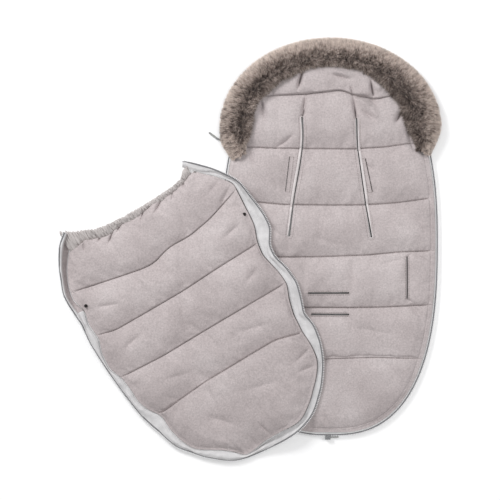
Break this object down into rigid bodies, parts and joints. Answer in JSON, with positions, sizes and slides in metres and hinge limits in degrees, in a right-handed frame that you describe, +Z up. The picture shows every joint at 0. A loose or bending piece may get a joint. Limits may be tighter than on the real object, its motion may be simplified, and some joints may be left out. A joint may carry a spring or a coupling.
{
  "type": "stroller footmuff",
  "caption": "Pushchair footmuff laid open: quilted fleece-lined mat with harness slots and a fur-trimmed hood, its zip-off front cover lying beside it.",
  "frame": {"origin": "on the floor, on the mat's centre line, under the mat's widest line", "axes": "+Y along the mat from the foot to the hood, +Z up from the floor, +X to the right seen from above"},
  "size_m": [0.9166, 1.0196, 0.0545],
  "materials": {
    "grey_fleece": "matt",
    "outer_fabric": "matt",
    "white_wadding": "matt",
    "light_woven_tape": "matt",
    "zip_teeth": "satin",
    "slot_binding": "matt",
    "brown_fur": "matt",
    "grey_zip_metal": "satin",
    "pull_tab": "satin",
    "white_elastic": "matt",
    "dark_press_stud": "satin"
  },
  "bodies": {
    "mat": {"mat_shell": "outer_fabric", "mat_wadding": "white_wadding", "mat_lining": "grey_fleece", "mat_zip_tape": "light_woven_tape", "mat_zip_teeth": "zip_teeth", "left_harness_slit_binding": "slot_binding", "right_harness_slit_binding": "slot_binding", "left_shoulder_slot_binding": "slot_binding", "right_shoulder_slot_binding": "slot_binding", "left_hip_slot_binding": "slot_binding", "right_hip_slot_binding": "slot_binding", "upper_crotch_slot_binding": "slot_binding", "lower_crotch_slot_binding": "slot_binding"},
    "hood": {"hood_shell": "outer_fabric", "hood_wadding": "white_wadding", "hood_lining": "grey_fleece", "hood_elastic": "white_elastic", "fur_backing": "light_woven_tape", "fur_pile": "brown_fur", "hood_left_slit_binding": "slot_binding", "hood_right_slit_binding": "slot_binding", "hood_left_zip_tape": "light_woven_tape", "hood_right_zip_tape": "light_woven_tape", "hood_left_zip_teeth": "zip_teeth", "hood_right_zip_teeth": "zip_teeth", "zip_retainer_box": "grey_zip_metal", "zip_top_stop": "grey_zip_metal"},
    "upper_slider": {"upper_zip_slider": "grey_zip_metal"},
    "upper_link": {"upper_pull_link": "grey_zip_metal"},
    "upper_tab": {"upper_pull_tab": "pull_tab"},
    "lower_slider": {"lower_zip_slider": "grey_zip_metal"},
    "lower_tab": {"lower_pull_tab": "pull_tab"},
    "cover": {"cover_shell": "outer_fabric", "cover_wadding": "white_wadding", "cover_lining": "grey_fleece", "cover_gusset": "light_woven_tape", "cover_zip_tape": "light_woven_tape", "cover_zip_teeth": "zip_teeth", "cover_zip_pin": "grey_zip_metal", "cover_zip_stop": "grey_zip_metal", "cover_rim_casing": "light_woven_tape", "cover_rim_elastic": "white_elastic", "left_stud_socket": "dark_press_stud", "right_stud_socket": "dark_press_stud", "left_stud_cap": "dark_press_stud", "right_stud_cap": "dark_press_stud"}
  },
  "joints": [
    {"name": "hood_fold", "type": "hinge", "parent": "mat", "child": "hood", "pos_m": [0, 0.1896, 0.0215], "axis": [1, 0, 0], "range_deg": [0, 75]},
    {"name": "cover_lift", "type": "slide", "parent": "mat", "child": "cover", "axis": [0, 0, 1], "range_m": [0, 0.15]},
    {"name": "upper_slider_run", "type": "slide", "parent": "hood", "child": "upper_slider", "axis": [-0.2487, -0.9686, 0], "range_m": [0, 0.03]},
    {"name": "upper_link_swing", "type": "hinge", "parent": "upper_slider", "child": "upper_link", "pos_m": [-0.23979, 0.23263, 0.0073], "axis": [0, 0, 1], "range_deg": [-40, 40]},
    {"name": "upper_tab_swing", "type": "hinge", "parent": "upper_link", "child": "upper_tab", "pos_m": [-0.27127, 0.24409, 0.0073], "axis": [0, 0, 1], "range_deg": [-90, 90]},
    {"name": "lower_slider_run", "type": "slide", "parent": "mat", "child": "lower_slider", "axis": [1, 0, 0], "range_m": [-0.01, 0.012]},
    {"name": "lower_tab_swing", "type": "hinge", "parent": "lower_slider", "child": "lower_tab", "pos_m": [-0.00505, -0.47309, 0.0073], "axis": [0, 0, 1], "range_deg": [-165, 0]}
  ]
}
